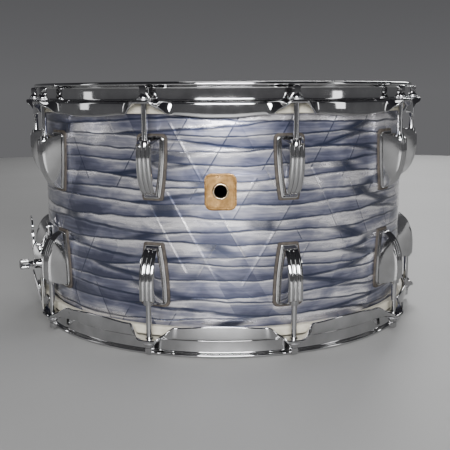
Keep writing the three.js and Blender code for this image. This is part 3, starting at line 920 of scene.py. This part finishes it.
# ---------------------------------------------------------------- badge and vent
def badge_and_vent(metal, rim):
    half, tall = (BADGE_HI.x - BADGE_LO.x) / 2, (BADGE_HI.z - BADGE_LO.z) / 2
    up = (BADGE_LO.z + BADGE_HI.z) / 2 - MID
    hole_r = 5.75 * MM

    def outline(inset, steps=9):
        w, h, c = half - inset, tall - inset, 6 * MM - inset
        corners = ((w - c, h - c, 0), (-w + c, h - c, 90), (-w + c, -h + c, 180), (w - c, -h + c, 270))
        points = [p for x, z, a in corners for p in arc(x, z, c, a, a + 90, steps)]
        out = []
        for p, q in zip(points, points[1:] + points[:1]):
            steps = 8 if math.dist(p, q) > 4 * MM else 1     # a straight side gets points of its own
            out += [(p[0] + (q[0] - p[0]) * k / 8, p[1] + (q[1] - p[1]) * k / 8) for k in range(steps)]
        return out

    # Rings from the outer edge towards the hole: a raised border, then the stippled field
    levels = [
        (0, 0.05), (0, 0.7), (0.25, 0.95), (1.0, 1.0), (1.3, 0.62), (1.9, 0.58), (2.1, 0.8), (2.4, 0.8),
        (2.6, 0.6),
    ]
    rings = [[on_shell(x, h * MM, up + z) for x, z in outline(i * MM)] for i, h in levels]
    n = len(rings[0])
    inner = outline(2.6 * MM)
    for share in (0.75, 0.5, 0.25, 0.0):
        ring = []
        for x, z in inner:
            z -= VENT_UP - up
            length = math.hypot(x, z)
            reach = hole_r + (length - hole_r) * share
            ring.append(on_shell(x * reach / length, 0.6 * MM, VENT_UP + z * reach / length))
        rings.append(ring)
    rings.append([(x, y + 0.55 * MM, z) for x, y, z in rings[-1]])
    verts = [p for ring in rings for p in ring]
    faces = outward(grid_faces(len(rings), n, wrap_rows=True), verts)
    put(make("badge_plate", verts, faces, metal, 35), 0, ROOT, "badge", slot="brass")

    front, back = WRAP_R + 1.1 * MM, SHELL_R - 8.2 * MM
    inside = [(0, 5.1), (-0.9, 5.5), (-0.9, 6.6), (-0.3, 6.9), (0.1, 6.4), (0.4, 5.6)]
    outside = [(-0.4, 5.6), (-0.2, 6.5), (0.2, 6.8), (0.8, 6.5), (1.15, 5.8), (1.0, 5.4), (0.4, 5.1)]
    profile = [(end + r * MM, d * MM) for end, lip in ((back, inside), (front, outside)) for r, d in lip]
    eyelet = make("vent_eyelet", *ring_out(profile, VENT_UP), rim, 50)
    put(eyelet, 0, ROOT, "vent_grommet", slot="brass")


# ---------------------------------------------------------------- strainer, butt, straps and wires
PLATE_R = WRAP_R / MM + 0.25                 # the back of the strainer's and the butt's plates
PIN_R, PIN_Z = 188, 64                       # the lever's cross pin
HUB_Z = 51.5                                 # the knob's screw


def over_floor(points):
    """(r, z) or (x, z) points in millimetres, z over the floor, as metres from the mid-plane."""
    return [(a * MM, z * MM - MID) for a, z in points]


def strainer_base(chrome, steel):
    base = [box(13, PLATE_R, PLATE_R + 2.1, 30, 92, 3)]
    foot = PLATE_R + 1
    cheek = over_floor([(foot, 52), *arc(PIN_R, PIN_Z, 4.6, -60, 110), (foot, 84)])
    for s in (1, -1):
        base.append(prism(cheek, s * 10.6 * MM, s * 13 * MM, "x"))
    put(solid("strainer_plate", chrome, *base, bevel=0.5 * MM), STRAINER_ANGLE, ROOT, "strainer_base")
    # the lower screw is sunk into the plate, so that the carriage clears it
    screws = [screw_head(0, z, PLATE_R + out, 3) for z, out in ((35, 0.8), (87, 2.1))]
    put(make("strainer_screws", *merged(*screws), steel, 35), STRAINER_ANGLE, ROOT, slot="wire_steel")


def lever(chrome):
    """A folded blade with a curled thumb tip and two ears, on its cross pin."""
    side = [(9.2, 58.3), (9.2, 63.5), (14.6, 63.5), (14.6, 75.5), (12.6, 79.5), (11, 84)]
    outline = [*side, *arc(0, 88, 11, 0, 180, 18), *[(-x, z) for x, z in reversed(side)]]
    outline = outline[-1:] + outline[:-1]
    rings = []
    for r in (193.5, 194.9):
        curl = [max(0, (z - 88) / 11) ** 2 * 0.7 for _, z in outline]
        rings.append([(x * MM, -(r + c) * MM, z * MM - MID) for (x, z), c in zip(outline, curl)])
    parts = [loft(rings)]
    ear = over_floor([(194.4, 63.5), (194.4, 75), *arc(PIN_R, PIN_Z, 4.2, 75, 260, 12)])
    for s in (1, -1):
        parts.append(prism(ear, s * 13.3 * MM, s * 14.9 * MM, "x"))
    parts.append(prism(over_floor(arc(PIN_R, PIN_Z, 1.95, 0, 345, 23)), -15.9 * MM, 15.9 * MM, "x"))
    parts.append(box(4.5, 194.7, 195.5, 66, 84, 3))
    put(solid("lever", chrome, *parts), STRAINER_ANGLE, "lever", "strainer_lever")


def carriage(chrome):
    """A die-cast slider with a hub for the knob's screw, and a tongue down to the strap."""
    slider = [box(9.9, 181.2, 187.5, 38, 58, 1.5), box(9.9, 186.0, 187.5, 18.2, 39, 2)]
    casting = solid("carriage_casting", chrome, *slider, bevel=0.6 * MM)
    put(casting, STRAINER_ANGLE, "carriage", "strainer_carriage")
    profile = mm([(186.8, 2.2), (186.8, 4.9), (189, 4.5), (193.6, 4.4), (194.5, 3.8), (194.5, 2.2)])
    hub = make("carriage_hub", *ring_out(profile, HUB_Z * MM - MID), chrome, 35)
    put(hub, STRAINER_ANGLE, "carriage")


def knob(chrome):
    """A waisted, knurled head on its screw."""
    up = HUB_Z * MM - MID
    screw = [(184, 1.2)]
    for k in range(13):
        screw += [(184.2 + k * 0.8, 1.55), (184.6 + k * 0.8, 1.95)]
    screw += [(195, 1.9), (195.2, 2.7), (196.0, 3.3), (196.9, 2.7), (198.2, 2.3), (199, 2.6), (199.2, 4.0)]
    grip = [(199.0, 3.2), (199.3, 4.3), (199.9, 4.8), (202.4, 4.8), (202.7, 4.4), (203.3, 4.4), (203.6, 4.8)]
    grip += [(206.9, 4.8), (207.6, 4.3), (208.1, 3.2)]
    cap = [(207.9, 3.3), (208.2, 2.6), (208.4, 1.0)]
    parts = turned(mm(screw), 0, up), turned(mm(grip), 0, up, 96, 24, 0.45 * MM), turned(mm(cap), 0, up)
    put(make("thumb_knob", *merged(*parts), chrome, 30), STRAINER_ANGLE, "knob", "strainer_knob")


def clamp(chrome, steel):
    """The leaning outer plate that holds the strap on the tongue."""
    side = over_floor([(189.3, 17), (190.9, 17), (195.5, 43), (193.9, 43), (189.8, 22.5), (189.3, 22.5)])
    parts = prism(side, -12 * MM, 12 * MM, "x"), box(10, 189.25, 191.5, 18.2, 33, 1.5)
    put(solid("clamp_plate", chrome, *parts), STRAINER_ANGLE, "clamp", "strainer_clamp")
    heads = [screw_head(x, 27, 191.4, 2.3) for x in (-6.5, 6.5)]
    put(make("clamp_screws", *merged(*heads), steel, 35), STRAINER_ANGLE, "clamp", slot="wire_steel")


def butt(chrome, steel):
    """The fixed holder opposite the strainer."""
    parts = [box(13, PLATE_R, PLATE_R + 2, 30, 62, 3), box(12, PLATE_R + 1, 187.5, 30, 46, 2)]
    parts.append(box(12, 186.0, 187.5, 18.2, 32, 2))
    put(solid("butt_casting", chrome, *parts, bevel=0.6 * MM), BUTT_ANGLE, ROOT, "butt_base")
    screw = make("butt_screw", *screw_head(0, 55, PLATE_R + 2, 3), steel, 35)
    put(screw, BUTT_ANGLE, ROOT, slot="wire_steel")
    holder = solid("butt_clamp_plate", chrome, box(12, 189.2, 191.6, 20, 42, 3), bevel=0.5 * MM)
    put(holder, BUTT_ANGLE, ROOT, "butt_clamp")
    heads = [screw_head(x, 31, 191.6, 2.3) for x in (-7, 7)]
    put(make("butt_clamp_screws", *merged(*heads), steel, 35), BUTT_ANGLE, ROOT, slot="wire_steel")


def straps(nylon):
    """Ribbons under the wires' end plates, through the hoop's gate and up to the clamps."""
    path = [(148 + 3.13 * k, 6.7) for k in range(12)] + arc(185.6, 9.5, 2.8, -90, 0, 8)
    path += [(188.4, 12 + 2 * k) for k in range(12)] + [(188.4, 35.9)]
    half = [(11, -0.7), (10.7, -1), (5, -1)]
    lower = [*half, (0, -1), *[(-x, s) for x, s in reversed(half)]]
    section = [(-x, -s) for x, s in lower] + lower          # (x, share of half the thickness)
    rings = []
    for k, (r, z) in enumerate(path):
        a, b = path[max(k - 1, 0)], path[min(k + 1, len(path) - 1)]
        t = Vector((b[0] - a[0], b[1] - a[1])).normalized() * 0.4
        rings.append([(x * MM, -(r + t.y * s) * MM, (z - t.x * s) * MM - MID) for x, s in section])
    for name, angle in (("strap_strainer", STRAINER_ANGLE), ("strap_butt", BUTT_ANGLE)):
        put(make(name + "_ribbon", *loft(rings), nylon, 50), angle, ROOT, name, slot="nylon")


def wires(steel):
    """Twenty coiled strands between two end plates."""
    low = 8.5 * MM - MID
    coil, wire, pitch, per = 0.62 * MM, 0.17 * MM, 1.5 * MM, 6
    parts = []
    half = 147 * MM
    turns = int(2 * half / pitch)
    section = [(wire * math.cos(TAU * q / 3), wire * math.sin(TAU * q / 3)) for q in range(3)]
    for s in range(20):
        x0 = (s - 9.5) * 1.95 * MM
        rings = []
        for k in range(turns * per + 1):
            a = TAU * k / per + s
            y = -half + pitch * k / per
            c, d = math.cos(a), math.sin(a)
            rings.append([(x0 + (coil + out) * c, y + on, low + (coil + out) * d) for out, on in section])
        parts.append(loft(rings))
    for s in (1, -1):
        near, far, fold = s * 146 * MM, s * 158 * MM, s * 149 * MM
        outline = fillet([(-20 * MM, near), (20 * MM, near), (20 * MM, far), (-20 * MM, far)],
                         [1.5 * MM, 1.5 * MM, 4 * MM, 4 * MM], 4)
        lip = [(-19 * MM, near), (19 * MM, near), (19 * MM, fold), (-19 * MM, fold)]
        for shape, rise in ((outline, 0.85 * MM), (lip, 0.9 * MM)):
            parts.append(loft([[(x, y, low + h) for x, y in shape] for h in (-rise, rise)]))
    coils = make("coiled_wires", *merged(*parts), steel, 60)
    put(coils, STRAINER_ANGLE, ROOT, "snare_wires", slot="wire_steel")


def shell_screws(steel):
    """Inside the shell, each lug is drawn on by two pan-head screws over washers."""
    inside = SHELL_R - WALL
    washer = [(0.05, 2.2), (0.05, 5.2), (0.9, 5.2), (0.9, 2.2)]
    pan = [(0.8, 3.7), (1.9, 3.7), (2.6, 3.2), (3.0, 2.2)]
    washer, pan = ([(inside - r * MM, d * MM) for r, d in stack] for stack in (washer, pan))
    part = []
    for z in (LUG_FROM + 14 * MM, LUG_FROM + 42 * MM):
        part += [ring_out(washer, z, 24), turned(pan, 0, z, 20)]
    pair = make("screw_pair", *merged(*part), steel, 35)
    for name, side in SIDES.items():
        for i, angle in enumerate(ROD_ANGLES, 1):
            put(copy_of(pair, f"lug_screws_{name}_{i}"), angle, ROOT, side=side, slot="wire_steel")
    bpy.data.objects.remove(pair)


# ---------------------------------------------------------------- put together
camera()
collar = collar_paint()
chrome = chrome_paint()
steel = steel_paint()
brass = brass_paint()
gasket = rubber_paint("gasket", (0.035, 0.028, 0.023), (0.11, 0.093, 0.078))
studio()
shell_and_wrap()
head("batter", 1, coated_paint(), collar)
head("snare", -1, clear_paint(), collar)
for name, side in SIDES.items():
    hoop(name, side, chrome)
lugs(chrome, gasket)
rods(chrome, steel)
badge_and_vent(brass, eyelet_paint())
strainer_base(chrome, steel)
lever(chrome)
carriage(chrome)
knob(chrome)
clamp(chrome, steel)
butt(chrome, steel)
straps(rubber_paint("nylon_strap", (0.55, 0.54, 0.5), (0.72, 0.71, 0.67), 0.45))
wires(steel)
shell_screws(steel)
